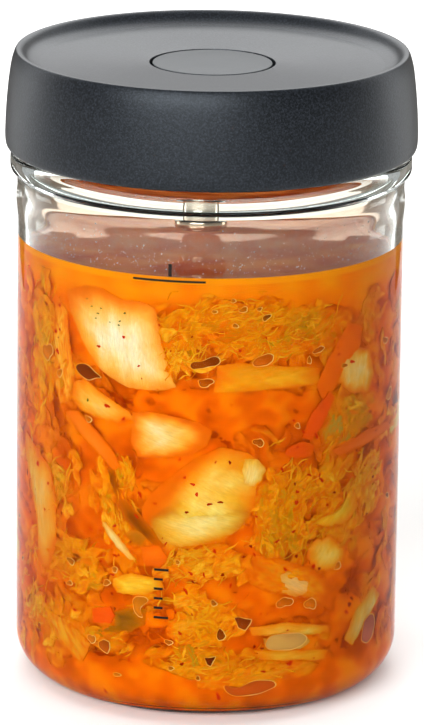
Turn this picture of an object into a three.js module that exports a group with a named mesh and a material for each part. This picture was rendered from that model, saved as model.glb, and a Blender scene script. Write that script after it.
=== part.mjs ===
// Fermentation jar: a straight glass jar of shredded cabbage in chilli brine, closed by a grained
// plastic lid that has a press button in the middle and a steel vent valve under it.
// Millimetres, +Z up. The origin is on the jar's axis, in the plane that the base stands on.
import * as THREE from 'three';

// Driving dimensions of the glass
const BODY_R = 55.0;          // outside of the straight wall
const WALL = 3.6;             // thickness of the straight wall
const BASE_CORNER_R = 12.0;   // outside rounding between wall and base
const FLOOR_T = 4.0;          // height of the inner floor above the standing plane
const INNER_CORNER_R = 8.4;   // inside rounding between wall and floor
const BEARING_IN_R = 39.5;    // the base stands on a flat ring from here to the rounding
const PUNT_RISE = 1.2;        // how far the middle of the base is pushed up
const SHOULDER_Z = 134.0;     // top of the straight wall
const NECK_R = 54.0;          // outside of the neck, inside the lid
const MOUTH_R = 50.4;         // inside of the neck
const COLLAR_R = 57.0;        // outside of the collar that shows under the lid
const RIM_Z = 174.4;          // top of the glass

// Driving dimensions of the lid
const LID_BOTTOM_Z = 154.6;
const LID_TOP_Z = 182.4;      // crest of the raised rim
const LID_R = 58.5;           // widest, just above the bottom edge
const RECESS_Z = 178.7;       // flat top inside the raised rim
const SKIRT_IN_R = 54.4;

// Driving dimensions of the button, the valve and the contents
const BUTTON_R = 17.0;
const GROOVE = 0.8;           // dark ring round the button
const BUTTON_T = 3.2;
const BUTTON_TRAVEL = 2.0;
const BUTTON_EDGE = 0.4;      // rounding of the button's upper edge
const POCKET_FLOOR_T = 2.5;
const BOSS_R = 21.0;          // thicker middle of the lid, round the button's pocket
const VALVE_DISC_R = 7.35;
const VALVE_DISC_T = 3.6;
const VALVE_STEM_R = 5.0;
const VALVE_FOOT_R = 5.6;
const VALVE_FOOT_T = 1.6;
const VALVE_CONE_H = 1.2;     // slope between the disc and the foot
const VALVE_FOOT_Z = 130.2;   // lowest point of the valve
const VALVE_X = -2.7;         // the valve stands a little off the jar's axis
const LEVEL_Z = 128.2;        // top of the brine
const GAP = 0.3;              // left between pieces that touch

const ROUND_SEGMENTS = 72;
const SMALL_SEGMENTS = 40;

// An arc of a profile: centre (r, z), from one angle to another in degrees, counted from +R to +Z.
function arc(centreR, centreZ, radius, fromDeg, toDeg, steps) {
  const points = [];
  for (let i = 0; i <= steps; i++) {
    const angle = THREE.MathUtils.degToRad(fromDeg + ((toDeg - fromDeg) * i) / steps);
    points.push([centreR + radius * Math.cos(angle), centreZ + radius * Math.sin(angle)]);
  }
  return points;
}

// A closed solid of revolution about +Z, from an outline of [r, z] pairs that runs outwards along the
// bottom, up the outside and back, and that starts and ends on the axis or closes on itself.
function turned(name, outline, segments, material) {
  const geometry = new THREE.LatheGeometry(outline.map(([r, z]) => new THREE.Vector2(r, z)), segments);
  geometry.rotateX(Math.PI / 2);
  const mesh = new THREE.Mesh(geometry, material);
  mesh.name = name;
  return mesh;
}

// Pressed soda-lime glass: base with a push-up, straight wall, faint bulge, collar and neck.
function jar() {
  const innerR = BODY_R - WALL;
  const outside = [
    [0, PUNT_RISE],
    [BEARING_IN_R - 3, PUNT_RISE],
    [BEARING_IN_R, 0],
    ...arc(BODY_R - BASE_CORNER_R, BASE_CORNER_R, BASE_CORNER_R, -90, 0, 7),
    [BODY_R, SHOULDER_Z],
    [BODY_R + 0.35, SHOULDER_Z + 5.5],
    [BODY_R + 0.1, SHOULDER_Z + 9.5],
    [BODY_R + 0.25, SHOULDER_Z + 12.6],
    [BODY_R + 0.45, SHOULDER_Z + 13.4],
    [COLLAR_R - 0.5, SHOULDER_Z + 14.2],
    [COLLAR_R, SHOULDER_Z + 15.2],
    [COLLAR_R, SHOULDER_Z + 17.8],
    [COLLAR_R - 0.4, SHOULDER_Z + 19],
    [COLLAR_R - 1.4, SHOULDER_Z + 20],
    [NECK_R, SHOULDER_Z + 20.4],
    [NECK_R, RIM_Z - 0.9],
    [NECK_R - 0.9, RIM_Z],
  ];
  const inside = [
    [MOUTH_R + 0.9, RIM_Z],
    [MOUTH_R, RIM_Z - 0.9],
    [MOUTH_R, SHOULDER_Z + 16],
    [innerR, SHOULDER_Z + 12.5],
    ...arc(innerR - INNER_CORNER_R, FLOOR_T + INNER_CORNER_R, INNER_CORNER_R, 0, -90, 5),
    [0, FLOOR_T],
  ];
  const glass = new THREE.MeshStandardMaterial({
    color: '#e8efee', roughness: 0.04, metalness: 0, transparent: true, opacity: 0.35,
  });
  return turned('jar_glass', [...outside, ...inside], ROUND_SEGMENTS, glass);
}

// Moulded lid: bowed skirt, raised rim round a flat recess, pocket for the button, thicker middle.
function lid() {
  const plateZ = RIM_Z + GAP;
  const pocketR = BUTTON_R + GROOVE;
  const pocketZ = RECESS_Z - BUTTON_T - BUTTON_TRAVEL - GAP;
  const bossZ = pocketZ - POCKET_FLOOR_T;
  const outline = [
    [0, bossZ],
    [BOSS_R, bossZ],
    [BOSS_R, plateZ],
    [SKIRT_IN_R, plateZ],
    [SKIRT_IN_R, LID_BOTTOM_Z + 0.7],
    [SKIRT_IN_R + 0.6, LID_BOTTOM_Z],
    [LID_R - 1.3, LID_BOTTOM_Z],
    [LID_R - 0.35, LID_BOTTOM_Z + 0.8],
    [LID_R, LID_BOTTOM_Z + 3.2],
    [LID_R - 0.15, LID_BOTTOM_Z + 8.4],
    [LID_R - 0.5, LID_BOTTOM_Z + 14],
    [LID_R - 1.1, LID_BOTTOM_Z + 20],
    [LID_R - 1.8, LID_TOP_Z - 3.4],
    [LID_R - 2.8, LID_TOP_Z - 0.4],
    [LID_R - 3.6, LID_TOP_Z],
    [LID_R - 4.7, LID_TOP_Z - 0.4],
    [LID_R - 6.6, RECESS_Z + 1.2],
    [LID_R - 10, RECESS_Z],
    [pocketR, RECESS_Z],
    [pocketR, pocketZ],
    [0, pocketZ],
  ];
  const plastic = new THREE.MeshStandardMaterial({ color: '#2f3135', roughness: 0.5, metalness: 0 });
  return turned('lid', outline, ROUND_SEGMENTS, plastic);
}

// Press button, flush with the recess, resting at the top of its travel.
function button() {
  const outline = [
    [0, RECESS_Z - BUTTON_T],
    [BUTTON_R, RECESS_Z - BUTTON_T],
    [BUTTON_R, RECESS_Z - BUTTON_EDGE],
    [BUTTON_R - BUTTON_EDGE, RECESS_Z],
    [0, RECESS_Z],
  ];
  const plastic = new THREE.MeshStandardMaterial({ color: '#34383a', roughness: 0.45, metalness: 0 });
  return turned('vent_button', outline, SMALL_SEGMENTS, plastic);
}

// Turned steel valve that hangs from the lid: stem, disc, cone and foot.
function valve() {
  const topZ = RECESS_Z - BUTTON_T - BUTTON_TRAVEL - GAP - POCKET_FLOOR_T - GAP;
  const coneZ = VALVE_FOOT_Z + VALVE_FOOT_T;
  const discZ = coneZ + VALVE_CONE_H;
  const outline = [
    [0, VALVE_FOOT_Z],
    [VALVE_FOOT_R, VALVE_FOOT_Z],
    [VALVE_FOOT_R, coneZ],
    [VALVE_DISC_R, discZ],
    [VALVE_DISC_R, discZ + VALVE_DISC_T],
    [VALVE_STEM_R, discZ + VALVE_DISC_T + 0.6],
    [VALVE_STEM_R, topZ],
    [0, topZ],
  ];
  const steel = new THREE.MeshStandardMaterial({ color: '#b9b6af', roughness: 0.25, metalness: 1 });
  const hanging = turned('vent_valve', outline, SMALL_SEGMENTS, steel);
  hanging.geometry.translate(VALVE_X, 0, 0);
  return hanging;
}

// Cabbage, carrot and leaves in brine: one solid that fills the glass up to the level.
function contents() {
  const fillR = BODY_R - WALL - GAP;
  const cornerR = INNER_CORNER_R - GAP;
  const outline = [
    [0, FLOOR_T + GAP],
    ...arc(fillR - cornerR, FLOOR_T + GAP + cornerR, cornerR, -90, 0, 5),
    [fillR, LEVEL_Z],
    [0, LEVEL_Z],
  ];
  const food = new THREE.MeshStandardMaterial({ color: '#e8860f', roughness: 0.35, metalness: 0 });
  return turned('kimchi', outline, ROUND_SEGMENTS, food);
}

const fermentationJar = new THREE.Group();
fermentationJar.add(jar(), lid(), button(), valve(), contents());

export default fermentationJar;
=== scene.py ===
import math
import random

import bpy
import numpy as np
from mathutils import Matrix, Vector


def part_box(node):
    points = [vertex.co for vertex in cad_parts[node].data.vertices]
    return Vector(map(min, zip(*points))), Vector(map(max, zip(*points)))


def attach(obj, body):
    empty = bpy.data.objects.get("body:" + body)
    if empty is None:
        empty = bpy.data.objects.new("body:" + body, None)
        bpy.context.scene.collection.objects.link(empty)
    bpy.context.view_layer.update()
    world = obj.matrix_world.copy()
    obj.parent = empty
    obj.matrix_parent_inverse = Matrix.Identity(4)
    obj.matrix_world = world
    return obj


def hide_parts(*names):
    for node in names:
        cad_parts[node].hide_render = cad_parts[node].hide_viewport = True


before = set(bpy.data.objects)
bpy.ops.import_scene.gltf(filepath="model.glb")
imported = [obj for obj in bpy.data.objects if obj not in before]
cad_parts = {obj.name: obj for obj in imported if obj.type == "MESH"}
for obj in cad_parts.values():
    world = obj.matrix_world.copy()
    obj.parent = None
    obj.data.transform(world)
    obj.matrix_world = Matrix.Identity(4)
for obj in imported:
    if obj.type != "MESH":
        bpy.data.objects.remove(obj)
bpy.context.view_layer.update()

MM = 0.001

# Heights taken from the frame, in millimetres
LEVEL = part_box("kimchi")[1].z / MM
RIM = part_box("jar_glass")[1].z / MM
BUTTON_LOW, BUTTON_TOP = [corner.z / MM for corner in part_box("vent_button")]
VALVE_LOW, VALVE_TOP = [corner.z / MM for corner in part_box("vent_valve")]

# The glass, in millimetres, as the frame has it
BODY_R = 55.0
WALL_R = BODY_R - 3.6           # inside of the straight wall
FLOOR = 4.0
BASE_CORNER = 12.0
INNER_CORNER = 8.4
SHOULDER = 134.0
NECK_R = 54.0
MOUTH_R = 50.4
FOG_TOP = SHOULDER + 11.5       # the straight inside wall ends here
VALVE_X = -2.7                  # the valve hangs a little to one side
HALF_ROUND = 161                # along the inside wall, from the fill mark's side to the back

GLASS_IOR = 1.5
WETTED_IOR = 1.128              # glass of 1.5 against brine of 1.33
WEAK_TINT = "#484848"           # keeps the inner wall's mirror weak

# Shared small tools


def linear(code):
    """Linear colour with alpha 1 from an sRGB hex code."""
    values = [int(code[i:i + 2], 16) / 255 for i in (1, 3, 5)]
    return (*[v / 12.92 if v <= 0.04045 else ((v + 0.055) / 1.055) ** 2.4 for v in values], 1.0)


def feed(tree, socket, value):
    """Gives an input a value, a colour from a hex code, or a link from a socket or a node's first output."""
    if isinstance(value, bpy.types.Node):
        value = value.outputs[0]
    if isinstance(value, bpy.types.NodeSocket):
        tree.links.new(value, socket)
    else:
        socket.default_value = linear(value) if isinstance(value, str) else value


def add(tree, kind, **given):
    """Adds a shader node. Lower-case names are its settings; i0, i1 and capitalised names are its inputs."""
    node = tree.nodes.new("ShaderNode" + kind)
    for key, value in given.items():
        if key[0] == "i" and key[1:].isdigit():
            feed(tree, node.inputs[int(key[1:])], value)
        elif key[0].islower():
            setattr(node, key, value)
        else:
            feed(tree, node.inputs[key], value)
    return node


def material(name, **values):
    """A new node material, with values on its Principled shader's own sockets."""
    made = bpy.data.materials.new(name)
    made.use_nodes = True
    shader = made.node_tree.nodes["Principled BSDF"]
    for socket, value in values.items():
        feed(made.node_tree, shader.inputs[socket.replace("_", " ")], value)
    return made, made.node_tree, shader


def mottle(tree, shader, scale, detail, first, second, low=0.0, high=1.0):
    """Mottles the colour between two tones by a noise, stretched between low and high; returns the noise."""
    place = add(tree, "TexCoord").outputs["Object"]
    noise = add(tree, "TexNoise", Vector=place, Scale=scale, Detail=detail)
    share = add(tree, "MapRange", i0=noise, i1=low, i2=high)
    tone = add(tree, "Mix", data_type="RGBA", i0=share, i6=first, i7=second)
    feed(tree, shader.inputs["Base Color"], tone.outputs[2])
    return noise


def emboss(tree, shader, height, strength, depth):
    """Bumps the surface by a pattern, depth mm high."""
    bump = add(tree, "Bump", Strength=strength, Distance=depth * MM, Height=height)
    feed(tree, shader.inputs["Normal"], bump)


def clear_selection():
    if bpy.context.object and bpy.context.object.mode != "OBJECT":
        bpy.ops.object.mode_set(mode="OBJECT")
    bpy.ops.object.select_all(action="DESELECT")


def select_only(piece):
    clear_selection()
    piece.select_set(True)
    bpy.context.view_layer.objects.active = piece


def faces_out():
    """Turns all faces of the piece that is in edit mode outwards, and leaves edit mode."""
    bpy.ops.mesh.select_all(action="SELECT")
    bpy.ops.mesh.normals_make_consistent(inside=False)
    bpy.ops.object.mode_set(mode="OBJECT")


def finish_piece(piece, body, made, replaced=(), angle=40):
    """Materials, smooth shading and the frame's calls that each piece gets."""
    for each in made:
        piece.data.materials.append(each)
    select_only(piece)
    bpy.ops.object.shade_smooth_by_angle(angle=math.radians(angle))
    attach(piece, body)
    if replaced:
        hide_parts(*replaced)
    clear_selection()


def turned(name, outline, segments=256):
    """A solid of revolution: a disc is extruded from one outline point, in mm, to the next, as on a lathe."""
    clear_selection()
    last_r, last_z = outline[0]
    bpy.ops.mesh.primitive_circle_add(
        vertices=segments, radius=last_r * MM, location=(0, 0, last_z * MM), fill_type="NGON")
    piece = bpy.context.object
    piece.name = piece.data.name = name
    bpy.ops.object.transform_apply(location=True, rotation=True, scale=True)
    bpy.ops.object.mode_set(mode="EDIT")
    bpy.ops.mesh.select_all(action="SELECT")
    for r, z in outline[1:]:
        bpy.ops.mesh.extrude_region_move(TRANSFORM_OT_translate={"value": (0, 0, (z - last_z) * MM)})
        bpy.ops.transform.resize(value=(r / last_r, r / last_r, 1))
        last_r, last_z = r, z
    faces_out()
    return piece


def arc(centre_r, centre_z, radius, start, end, steps):
    """Outline points on an arc, angles in degrees from +R towards +Z."""
    turn = [math.radians(start + (end - start) * i / steps) for i in range(steps + 1)]
    return [(centre_r + radius * math.cos(a), centre_z + radius * math.sin(a)) for a in turn]


def eased(points, steps):
    """A smooth outline through the given points, by a Catmull-Rom curve."""
    padded = [points[0], *points, points[-1]]
    smooth = []
    for i in range(1, len(padded) - 2):
        p0, p1, p2, p3 = [np.array(p, float) for p in padded[i - 1:i + 3]]
        for t in [k / steps for k in range(steps)]:
            smooth.append(tuple(0.5 * (2 * p1 + (p2 - p0) * t + (2 * p0 - 5 * p1 + 4 * p2 - p3) * t ** 2
                                       + (3 * p1 - p0 - 3 * p2 + p3) * t ** 3)))
    smooth.append(tuple(points[-1]))
    return smooth


# Materials

# Pressed soda-lime glass, fire polished: clear, with bright rims. Its mirror is weaker than Fresnel's
# law gives, as when dark cards stand round the jar, so the contents keep their colour through it.
glass, tree, shader = material("Glass, pressed soda-lime, fire polished")
mirror = add(tree, "Math", operation="POWER", i0=add(tree, "Fresnel", IOR=GLASS_IOR), i1=1.9)
clear = add(tree, "BsdfRefraction", Color="#f9fcfb", Roughness=0.0, IOR=GLASS_IOR)
gloss = add(tree, "BsdfGlossy", Color="#ffffff", Roughness=0.0)
both = add(tree, "MixShader", i0=mirror, i1=clear, i2=gloss)
feed(tree, tree.nodes["Material Output"].inputs["Surface"], both)
tree.nodes.remove(shader)

# The same glass above the brine, where moisture and a film of brine have fogged its inside: a grey veil in
# patches of about 2 mm, thickest 10 mm above the brine. Its warm tint is a painted glow, the orange contents'
# light on the fog.
fogged_glass, tree, shader = material("Glass, fogged inside", Base_Color="#ecd2bc", Roughness=0.05,
                                      IOR=GLASS_IOR, Specular_Tint=WEAK_TINT)
place = add(tree, "TexCoord").outputs["Object"]
height = add(tree, "SeparateXYZ", i0=place).outputs["Z"]
veil = add(tree, "TexNoise", Vector=place, Scale=420.0, Detail=4.0, Roughness=0.75)
for low, high, first, last in ((2, 10, 0.03, 0.36), (11, 16, 1.0, 0.3)):
    share = add(tree, "MapRange", i0=height, i1=(LEVEL + low) * MM, i2=(LEVEL + high) * MM, i3=first, i4=last)
    veil = add(tree, "Math", operation="MULTIPLY", i0=veil, i1=share)
feed(tree, shader.inputs["Transmission Weight"], add(tree, "Math", operation="SUBTRACT", i0=1.0, i1=veil))

# Water drops on the glass, made whitish and part opaque: a painted highlight, so that they show on it as
# light dots
water, tree, shader = material("Water, condensed drops", Base_Color="#ffffff", Transmission_Weight=0.55,
                               Roughness=0.1, IOR=1.33)

# The same glass where brine wets it, so that the wall hardly shows
wet_glass, tree, shader = material("Glass, wetted by brine", Base_Color="#fffdf8", Transmission_Weight=1.0,
                                   Roughness=0.0, IOR=WETTED_IOR, Specular_Tint=WEAK_TINT)

# Anthracite polypropylene, moulded in a spark-eroded mould: dark, with a fine grain whose sparkle is painted
# as lighter specks in the colour, painted glints. The real grain is about 0.1 mm; it is drawn 0.6 to 0.8 mm
# wide so that it shows.
lid_plastic, tree, shader = material("Polypropylene, anthracite, spark-eroded grain", Roughness=0.42,
                                     Specular_IOR_Level=0.26, Specular_Tint="#e2eefa")
place = add(tree, "TexCoord").outputs["Object"]
grain = add(tree, "TexNoise", Vector=place, Scale=1700.0, Detail=1.0, Roughness=0.6)
# Lighter specks: painted glints of the grain; the uneven tone added to them is the grain's own
specks = add(tree, "TexVoronoi", Vector=place, Scale=1300.0)
lit = add(tree, "MapRange", i0=specks, i1=0.10, i2=0.34, i3=1.0, i4=0.0)
uneven = add(tree, "MapRange", i0=grain, i1=0.40, i2=0.66, i3=0.0, i4=0.6)
lit = add(tree, "Math", operation="MULTIPLY_ADD", use_clamp=True, i0=lit, i1=0.7, i2=uneven)
tone = add(tree, "Mix", data_type="RGBA", i0=lit, i6="#010203", i7="#1e2127")
feed(tree, shader.inputs["Base Color"], tone.outputs[2])
emboss(tree, shader, grain, 0.45, 0.08)

# The button's grain is finer and flatter, drawn 0.3 mm wide, so it looks smoother and a little greener
button_plastic, tree, shader = material("Polypropylene, anthracite, fine matt", Roughness=0.45,
                                        Specular_IOR_Level=0.22, Specular_Tint="#dcebf6")
emboss(tree, shader, mottle(tree, shader, 3600.0, 1.0, "#15181a", "#1e2225"), 0.25, 0.04)

# Stainless steel, turned and polished: bright, with rings from the tool, drawn 0.5 mm apart so that they show
steel, tree, shader = material("Stainless steel, turned and polished", Base_Color="#d6d2c9", Metallic=1.0,
                               Roughness=0.16)
place = add(tree, "TexCoord").outputs["Object"]
rings = add(tree, "TexWave", bands_direction="Z", Vector=place, Scale=620.0, Distortion=0.4)
emboss(tree, shader, rings.outputs["Fac"], 0.12, 0.03)

# Brine seen from above: orange-red with chilli oil, a still and glossy surface
brine_top, tree, shader = material("Brine, still surface", Roughness=0.015, IOR=1.34, Specular_IOR_Level=0.25)
mottle(tree, shader, 55.0, 3.0, "#e4541a", "#ff8a3c", 0.38, 0.62)

# Brine where it touches the glass: bright orange, lit through the wall
brine_edge, tree, shader = material("Brine, orange, against the glass", Roughness=0.5, Specular_IOR_Level=0.0)
mottle(tree, shader, 90.0, 2.0, "#ff9604", "#ffa20c")

# Printed mark: black enamel fired on the glass, with a grain of a quarter of a millimetre
enamel, tree, shader = material("Enamel, black, fired on glass", Roughness=0.5, Specular_IOR_Level=0.1)
mottle(tree, shader, 4000.0, 1.0, "#120a06", "#1e120c")

# Glass

collar = eased([(BODY_R + out, SHOULDER + up) for out, up in (
    (0, 0), (0.35, 5.5), (0.1, 9.5), (0.25, 12.6), (0.45, 13.4), (1.5, 14.2), (2, 15.2), (2, 17.8), (1.6, 19),
    (0.6, 20), (NECK_R - BODY_R, 20.4))], 5)
outside = [(20, 1.2), (36.5, 1.2), (38.2, 0.9), (39.0, 0.3), (39.5, 0.0),
           *arc(BODY_R - BASE_CORNER, BASE_CORNER, BASE_CORNER, -90, 0, 20), (BODY_R, 60), *collar,
           (NECK_R, RIM - 0.9), (NECK_R - 0.3, RIM - 0.3), (NECK_R - 0.9, RIM)]
inside = [(MOUTH_R + 0.9, RIM), (MOUTH_R + 0.3, RIM - 0.3), (MOUTH_R, RIM - 0.9),
          *eased([(MOUTH_R, SHOULDER + 16.6), (MOUTH_R + 0.15, SHOULDER + 15.6),
                  (WALL_R - 0.2, SHOULDER + 13.2), (WALL_R, FOG_TOP)], 4),
          (WALL_R, LEVEL + 1), (WALL_R, 70),
          *arc(WALL_R - INNER_CORNER, FLOOR + INNER_CORNER, INNER_CORNER, 0, -90, 16), (25, FLOOR)]
jar = turned("jar_wall", outside + inside)
finish_piece(jar, "jar", [glass, wet_glass, fogged_glass], ["jar_glass"], angle=35)
for face in jar.data.polygons:
    x, y, z = face.center / MM
    if math.hypot(x, y) < WALL_R + 0.2 and FLOOR < z < FOG_TOP:
        face.material_index = 1 if z < LEVEL + 1 else 2

# Lid: underside with the thicker middle, skirt and raised rim, and the button's pocket

under = [(8, 170.2), (21, 170.2), (21, 174.7), (54.4, 174.7), (54.4, 155.3), (54.6, 154.8), (55, 154.6)]
skirt = eased([(57.2, 154.6), (58.15, 155.4), (58.5, 157.8), (58.35, 163), (58, 168.6), (57.4, 174.6),
               (56.7, 179), (55.7, 182), (54.9, 182.4), (53.8, 182), (51.9, 179.9), (48.5, 178.7)], 6)
well = [(18.0, 178.7), (17.87, 178.66), (17.8, 178.5), (17.8, 172.7), (8, 172.7)]
cap = turned("lid_shell", under + skirt + well)
finish_piece(cap, "jar", [lid_plastic], ["lid"], angle=35)

# Press button, flush with the recess

button = turned("press_button", [
    (12, BUTTON_LOW), (16.75, BUTTON_LOW), (17.0, BUTTON_LOW + 0.2), (17.0, BUTTON_TOP - 0.4),
    (16.93, BUTTON_TOP - 0.16), (16.78, BUTTON_TOP - 0.04), (16.5, BUTTON_TOP), (6, BUTTON_TOP)], 160)
finish_piece(button, "button", [button_plastic], ["vent_button"], angle=35)

# Steel vent valve, from the foot over the cone and the disc to the stem: heights above its foot

valve = turned("valve_body", [(r, VALVE_LOW + rise) for r, rise in (
    (3, 0), (5.3, 0), (5.5, 0.1), (5.6, 0.3), (5.6, 1.4), (5.75, 1.6), (7.1, 2.6), (7.3, 2.85), (7.35, 3.1),
    (7.35, 6.0), (7.25, 6.3), (7.0, 6.4), (5.3, 6.7), (5.0, 7.0))] + [(5.0, VALVE_TOP), (2, VALVE_TOP)], 96)
bpy.ops.object.mode_set(mode="EDIT")
bpy.ops.mesh.select_all(action="SELECT")
bpy.ops.transform.translate(value=(VALVE_X * MM, 0, 0))
bpy.ops.object.mode_set(mode="OBJECT")
finish_piece(valve, "jar", [steel], ["vent_valve"], angle=30)

# Contents. Every piece of food lies on the inside of the glass, so it is laid out on the wall unrolled:
# u mm round the jar from the fill mark's side, v mm up, and w mm in from the glass.


def wall_r(v):
    """Radius of the inner wall at height v, in mm, down into its rounded corner."""
    drop = np.clip(FLOOR + INNER_CORNER - v, 0, INNER_CORNER - 0.4)
    return WALL_R - INNER_CORNER + np.sqrt(INNER_CORNER ** 2 - drop ** 2)


def ripple(u, v, seed, size):
    """A smooth random field from about -1 to 1 with lumps about size mm across, the sum of 8 waves."""
    dice = np.random.default_rng(seed)
    total = np.zeros(np.broadcast(u, v).shape)
    for _ in range(8):
        turn = dice.uniform(0, 2 * math.pi)
        k = math.pi / (size * dice.uniform(0.75, 1.6))
        total += np.sin((u * math.cos(turn) + v * math.sin(turn)) * k + dice.uniform(0, 2 * math.pi))
    return total / 2 * 0.6


def inside_of(outline, u, v):
    """Which points lie inside an outline of (u, v) corners."""
    hit = np.zeros(np.broadcast(u, v).shape, bool)
    for (u1, v1), (u2, v2) in zip(outline, outline[1:] + outline[:1]):
        hit ^= ((v1 > v) != (v2 > v)) & (u < (u2 - u1) * (v - v1) / (v2 - v1 + 1e-9) + u1)
    return hit


def turned_to(x, y, degrees):
    """Points turned in their plane."""
    c, n = math.cos(math.radians(degrees)), math.sin(math.radians(degrees))
    return x * c - y * n, x * n + y * c


def walk(outline, steps):
    """Points at even steps round an outline of (u, v) corners."""
    closed = np.array([*outline, outline[0]], float)
    walked = np.concatenate([[0], np.cumsum(np.hypot(*np.diff(closed, axis=0).T))])
    at = np.linspace(0, walked[-1], steps, endpoint=False)
    return np.column_stack([np.interp(at, walked, closed[:, i]) for i in (0, 1)])


# How far shreds keep behind the placed pieces and out of the open brine, in mm, on a grid of 0.5 mm
MAP_HALF, MAP_HIGH, MAP_STEP = 80, 130, 0.5
clearance = np.zeros((int(MAP_HIGH / MAP_STEP), int(2 * MAP_HALF / MAP_STEP)))


def keep_clear(outline, depth):
    """Makes the shreds keep depth mm further from the glass inside an outline."""
    v, u = np.mgrid[0:MAP_HIGH:MAP_STEP, -MAP_HALF:MAP_HALF:MAP_STEP]
    area = np.where(inside_of(outline, u, v), float(depth), 0.0)
    for _ in range(3):
        area = (area + sum(np.roll(area, step, axis) for axis in (0, 1) for step in (1, -1))) / 5
    np.maximum(clearance, area, out=clearance)


def pushed(u, v):
    """Depth to add to a shred at each point, from the clearance map."""
    rows, columns = [np.clip((at / MAP_STEP).astype(int), 0, size - 1)
                     for at, size in zip((v, u + MAP_HALF), clearance.shape)]
    return clearance[rows, columns]


def soft_stop(w, least):
    """Depths that flatten out against the glass instead of passing through it."""
    return least + 0.5 * (w + np.sqrt(w * w + 0.05))


def carry(mesh, sunk, fibre, tint):
    """Puts on a mesh's points what the food's materials read."""
    tint = np.column_stack([tint, np.ones(len(tint))])
    for name, kind, field, values in (
            ("sunk", "FLOAT", "value", sunk), ("fibre", "FLOAT_VECTOR", "vector", fibre),
            ("tint", "FLOAT_COLOR", "color", tint)):
        mesh.attributes.new(name, kind, "POINT").data.foreach_set(field, np.ascontiguousarray(values).ravel())


class Heap:
    """Collects closed shells of food, laid out on the unrolled wall, and makes them one mesh."""

    def __init__(self):
        self.points, self.quads, self.triangles, self.count = [], [], [], 0

    def take(self, u, v, w, tint, along, across, quads, veiled):
        """Adds points with their colour, fibre coordinates and the depth that the brine's veil goes by."""
        seed = np.full(u.size, (self.count % 977) * 1.7)
        self.points.append(np.column_stack([u, v, w, tint, along, across, seed, veiled]))
        self.quads.append(quads + self.count)
        self.count += u.size

    def sheet(self, u, v, w, tint, along, across, thick):
        """A sheet of rows by columns, with a back thick mm further in, closed round its edge."""
        rows, columns = u.shape
        size = rows * columns
        index = np.arange(size).reshape(rows, columns)
        front = np.stack([index[:-1, :-1], index[1:, :-1], index[1:, 1:], index[:-1, 1:]], -1).reshape(-1, 4)
        edge = np.concatenate([index[0, :-1], index[:-1, -1], index[-1, :0:-1], index[:0:-1, 0]])
        beside = np.roll(edge, -1)
        rim = np.stack([edge, beside, beside + size, edge + size], -1)
        u, v, along, across = [np.tile(a.ravel(), 2) for a in (u, v, along, across)]
        deep = np.concatenate([w.ravel(), w.ravel() + thick])
        self.take(u, v, deep, np.tile(tint.reshape(-1, 3), (2, 1)), along, across,
                  np.concatenate([front, front[:, ::-1] + size, rim]), deep)

    def disc(self, u, v, w, tint, along, across, thick, veiled=None):
        """Rings of points from a middle outwards, rings by steps, with a back and a closed edge."""
        rings, steps = u.shape
        size = rings * steps
        index = np.arange(size).reshape(rings, steps)
        after = np.roll(index, -1, axis=1)
        front = np.stack([index[:-1], index[1:], after[1:], after[:-1]], -1).reshape(-1, 4)
        rim = np.stack([index[-1], index[-1] + size, after[-1] + size, after[-1]], -1)
        hub = np.concatenate([np.stack([np.full(steps, 2 * size), index[0], after[0]], -1),
                              np.stack([np.full(steps, 2 * size + 1), after[0] + size, index[0] + size], -1)])
        u, v, along, across = [np.concatenate([a.ravel(), a.ravel(), [a[0].mean()] * 2])
                               for a in (u, v, along, across)]
        tint = np.broadcast_to(tint, (rings, steps, 3)).reshape(-1, 3)
        back = w + thick
        deep = np.concatenate([w.ravel(), back.ravel(), [w[0].mean(), back[0].mean()]])
        veiled = w if veiled is None else veiled
        self.triangles.append(hub + self.count)
        self.take(u, v, deep, np.concatenate([tint, tint, tint[:1], tint[:1]]), along, across,
                  np.concatenate([front, front[:, ::-1] + size, rim]),
                  np.concatenate([veiled.ravel(), veiled.ravel() + 0.5, [veiled[0].mean()] * 2]))

    def build(self, name, made):
        """Wraps the layout round the inside of the glass and makes the piece."""
        data = np.concatenate(self.points)
        u, v, w = data[:, :3].T
        r = (wall_r(v) - w) * MM
        place = np.column_stack([r * np.sin(u / WALL_R), -r * np.cos(u / WALL_R), v * MM])
        mesh = bpy.data.meshes.new(name)
        faces = [face for part in self.quads + self.triangles for face in part.tolist()]
        mesh.from_pydata(place.tolist(), [], faces)
        carry(mesh, data[:, 9], data[:, 6:9], data[:, 3:6])
        piece = bpy.data.objects.new(name, mesh)
        bpy.context.scene.collection.objects.link(piece)
        select_only(piece)
        bpy.ops.object.mode_set(mode="EDIT")
        faces_out()
        finish_piece(piece, "jar", [made], angle=70)


def mixed(first, second, share):
    """Linear colours between two hex codes, by a share from 0 to 1 for each point."""
    a, b = np.array(linear(first)[:3]), np.array(linear(second)[:3])
    return a + (b - a) * np.clip(share, 0, 1)[..., None]


DEEPEST = 0.93                  # how far behind the glass a placed piece's mesh may go
DEEPEST_VEIL = 2.6              # and the depth that the brine's veil goes by


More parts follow.
